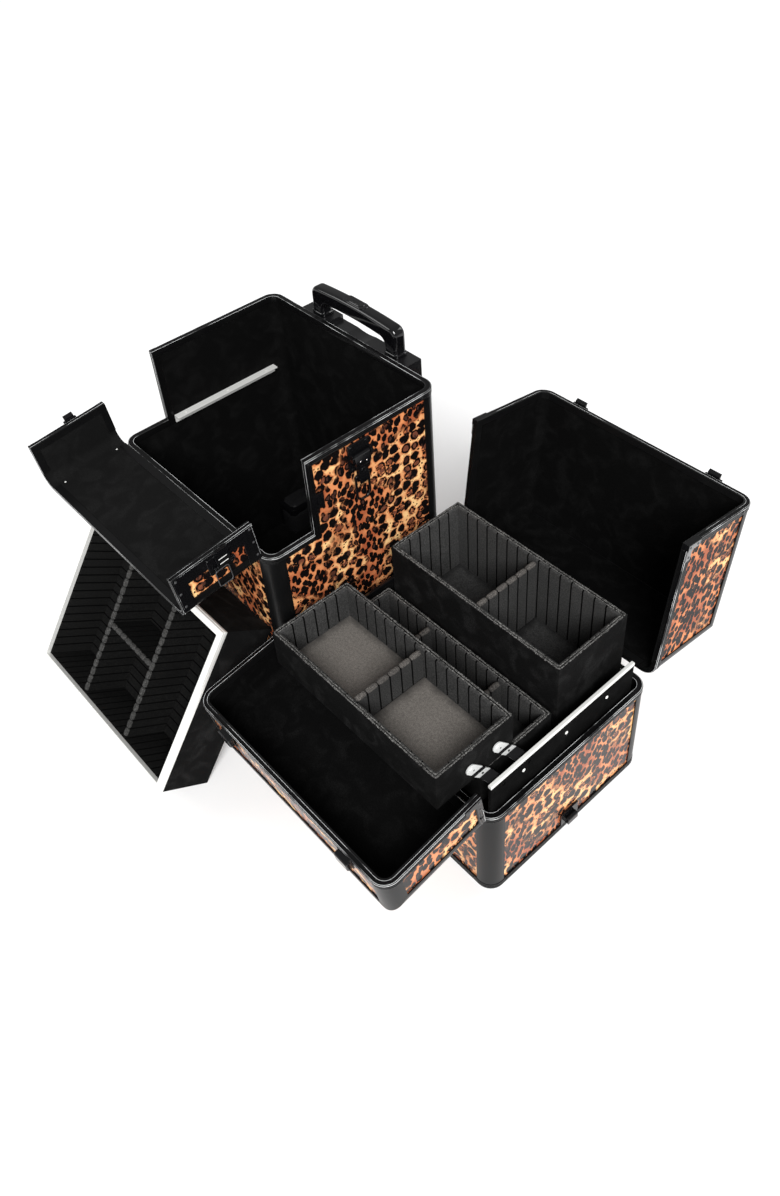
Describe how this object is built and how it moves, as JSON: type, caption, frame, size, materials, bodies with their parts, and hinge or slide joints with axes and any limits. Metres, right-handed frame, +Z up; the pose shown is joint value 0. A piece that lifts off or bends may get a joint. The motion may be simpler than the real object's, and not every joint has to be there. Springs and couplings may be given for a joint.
{
  "type": "makeup train case",
  "caption": "Two-part wheeled makeup train case shown open: lower case with drop flap, lift-out tray and telescopic handle; upper case with lid, flap and swing-out trays.",
  "frame": {"origin": "centre of the whole group's footprint, on the floor", "axes": "+Z up, +X along the long sides from the lower case to the upper case, -Y towards the side where the flaps and trays open"},
  "size_m": [0.7255, 0.7121, 0.501],
  "materials": {
    "print_board": "glossy laminate with an irregular spotted print",
    "black_board": "black painted board",
    "black_profile": "black anodised extrusion, satin",
    "velvet": "black velvet",
    "foam": "dark grey flocked foam",
    "silver": "bright satin",
    "steel": "stamped, satin",
    "tube": "polished tube",
    "black_steel": "black satin",
    "black_plastic": "moulded, slight texture",
    "gloss_plastic": "glossy black",
    "wheel_rubber": "matte tread"
  },
  "bodies": {
    "lower_case": {"lower_floor_board": "black_board", "lower_wall_boards": "print_board", "lower_lining": "velvet", "lower_corner_frame": "black_profile", "lower_rim_profiles": "black_profile", "tray_rails": "silver", "wheel_housings": "gloss_plastic", "wheel_axles": "steel", "front_feet": "black_plastic", "handle_housing": "black_plastic", "handle_sleeves": "black_steel", "side_latch_plates": "black_steel", "lower_flap_catches": "black_steel"},
    "left_wheel": {"left_wheel": "wheel_rubber"},
    "right_wheel": {"right_wheel": "wheel_rubber"},
    "handle_middle": {"handle_middle_tubes": "tube"},
    "handle_top": {"handle_inner_tubes": "tube", "handle_grip": "black_plastic"},
    "release_button": {"release_button": "gloss_plastic"},
    "left_side_lever": {"left_side_lever": "black_steel"},
    "right_side_lever": {"right_side_lever": "black_steel"},
    "left_side_loop": {"left_side_loop": "black_steel"},
    "right_side_loop": {"right_side_loop": "black_steel"},
    "lower_flap": {"lower_flap_boards": "print_board", "lower_flap_frame": "black_profile", "lower_flap_latch_plates": "black_steel"},
    "left_flap_latch": {"left_flap_latch": "black_steel"},
    "right_flap_latch": {"right_flap_latch": "black_steel"},
    "lift_tray": {"lift_tray_shell": "velvet", "lift_tray_frame": "silver", "lift_tray_liner": "foam", "lift_tray_dividers": "foam"},
    "upper_case": {"upper_boards": "print_board", "upper_lining": "velvet", "upper_corner_frame": "black_profile", "upper_rim_profiles": "black_profile", "end_panels": "velvet", "end_panel_strips": "silver", "upper_hasps": "black_steel", "middle_tray_shell": "velvet", "middle_tray_liner": "foam", "middle_tray_dividers": "foam", "back_tray_shell": "velvet", "back_tray_liner": "foam", "back_tray_divider": "foam"},
    "lid": {"lid_boards": "print_board", "lid_frame": "black_profile", "lid_latch_plates": "black_steel", "lid_handle_brackets": "black_plastic"},
    "left_lid_latch": {"left_lid_latch": "black_steel"},
    "right_lid_latch": {"right_lid_latch": "black_steel"},
    "lid_handle": {"lid_handle": "black_plastic"},
    "top_flap": {"top_flap_boards": "print_board", "top_flap_frame": "black_profile", "top_flap_catches": "black_steel"},
    "front_arms": {"front_swing_arms": "steel"},
    "rear_arms": {"rear_swing_arms": "steel"},
    "front_tray": {"front_tray_shell": "velvet", "front_tray_liner": "foam", "front_tray_divider": "foam"}
  },
  "joints": [
    {"name": "left_wheel_roll", "type": "hinge", "parent": "lower_case", "child": "left_wheel", "pos_m": [-0.3315, 0.125, 0.025], "axis": [1, 0, 0], "continuous": true},
    {"name": "right_wheel_roll", "type": "hinge", "parent": "lower_case", "child": "right_wheel", "pos_m": [-0.0295, 0.125, 0.025], "axis": [1, 0, 0], "continuous": true},
    {"name": "handle_lower_stage", "type": "slide", "parent": "lower_case", "child": "handle_middle", "axis": [0, 0, 1], "range_m": [0, 0.3]},
    {"name": "handle_upper_stage", "type": "slide", "parent": "handle_middle", "child": "handle_top", "axis": [0, 0, 1], "range_m": [0, 0.3]},
    {"name": "button_press", "type": "slide", "parent": "handle_top", "child": "release_button", "axis": [0, 0, -1], "range_m": [0, 0.004], "stiffness_N_per_m": 600},
    {"name": "left_side_lever_swing", "type": "hinge", "parent": "lower_case", "child": "left_side_lever", "pos_m": [-0.36, 0.0135, 0.43], "axis": [0, 1, 0], "range_deg": [0, 150]},
    {"name": "left_side_loop_swing", "type": "hinge", "parent": "left_side_lever", "child": "left_side_loop", "pos_m": [-0.3583, 0.0135, 0.396], "axis": [0, 1, 0], "range_deg": [0, 90]},
    {"name": "right_side_lever_swing", "type": "hinge", "parent": "lower_case", "child": "right_side_lever", "pos_m": [-0.001, 0.0135, 0.43], "axis": [0, -1, 0], "range_deg": [0, 150]},
    {"name": "right_side_loop_swing", "type": "hinge", "parent": "right_side_lever", "child": "right_side_loop", "pos_m": [-0.0027, 0.0135, 0.396], "axis": [0, -1, 0], "range_deg": [0, 90]},
    {"name": "lower_flap_hinge", "type": "hinge", "parent": "lower_case", "child": "lower_flap", "pos_m": [-0.1805, -0.144, 0.343], "axis": [-1, 0, 0], "range_deg": [0, 96.3]},
    {"name": "left_flap_latch_swing", "type": "hinge", "parent": "lower_flap", "child": "left_flap_latch", "pos_m": [-0.3587, -0.19946, 0.3897], "axis": [0, -0.994, -0.1097], "range_deg": [0, 150]},
    {"name": "right_flap_latch_swing", "type": "hinge", "parent": "lower_flap", "child": "right_flap_latch", "pos_m": [-0.0023, -0.19946, 0.3897], "axis": [0, 0.994, 0.1097], "range_deg": [0, 150]},
    {"name": "lift_tray_out", "type": "slide", "parent": "lower_case", "child": "lift_tray", "axis": [0, -1, 0], "range_m": [0, 0.25]},
    {"name": "upper_case_lift", "type": "slide", "parent": "lower_case", "child": "upper_case", "axis": [0.2588, 0, 0.9659], "range_m": [0, 0.4]},
    {"name": "lid_hinge", "type": "hinge", "parent": "upper_case", "child": "lid", "pos_m": [0.1785, 0.174, 0.16], "axis": [1, 0, 0], "range_deg": [0, 98.2]},
    {"name": "left_lid_latch_swing", "type": "hinge", "parent": "lid", "child": "left_lid_latch", "pos_m": [0.0685, 0.3495, 0.33324], "axis": [-1, 0, 0], "range_deg": [0, 150]},
    {"name": "right_lid_latch_swing", "type": "hinge", "parent": "lid", "child": "right_lid_latch", "pos_m": [0.2885, 0.3495, 0.33324], "axis": [-1, 0, 0], "range_deg": [0, 150]},
    {"name": "lid_handle_swing", "type": "hinge", "parent": "lid", "child": "lid_handle", "pos_m": [0.1785, 0.34226, 0.25144], "axis": [1, 0, 0], "range_deg": [-8.2, 120]},
    {"name": "top_flap_hinge", "type": "hinge", "parent": "upper_case", "child": "top_flap", "pos_m": [0.1785, -0.125, 0.16], "axis": [-1, 0, 0], "range_deg": [0, 98.8]},
    {"name": "front_arm_swing", "type": "hinge", "parent": "upper_case", "child": "front_arms", "pos_m": [0.1785, -0.0865, 0.19431], "axis": [-1, 0, 0], "range_deg": [0, 78.78]},
    {"name": "rear_arm_swing", "type": "hinge", "parent": "upper_case", "child": "rear_arms", "pos_m": [0.1785, -0.0435, 0.19431], "axis": [-1, 0, 0], "range_deg": [0, 78.78]},
    {"name": "front_tray_pivot", "type": "hinge", "parent": "front_arms", "child": "front_tray", "pos_m": [0.1785, -0.1195, 0.2345], "axis": [1, 0, 0], "range_deg": [0, 78.78]}
  ],
  "couplings": [
    {"joint": "front_arm_swing", "follows": "top_flap_hinge", "ratio": 0.7974},
    {"joint": "rear_arm_swing", "follows": "top_flap_hinge", "ratio": 0.7974},
    {"joint": "front_tray_pivot", "follows": "top_flap_hinge", "ratio": 0.7974}
  ]
}
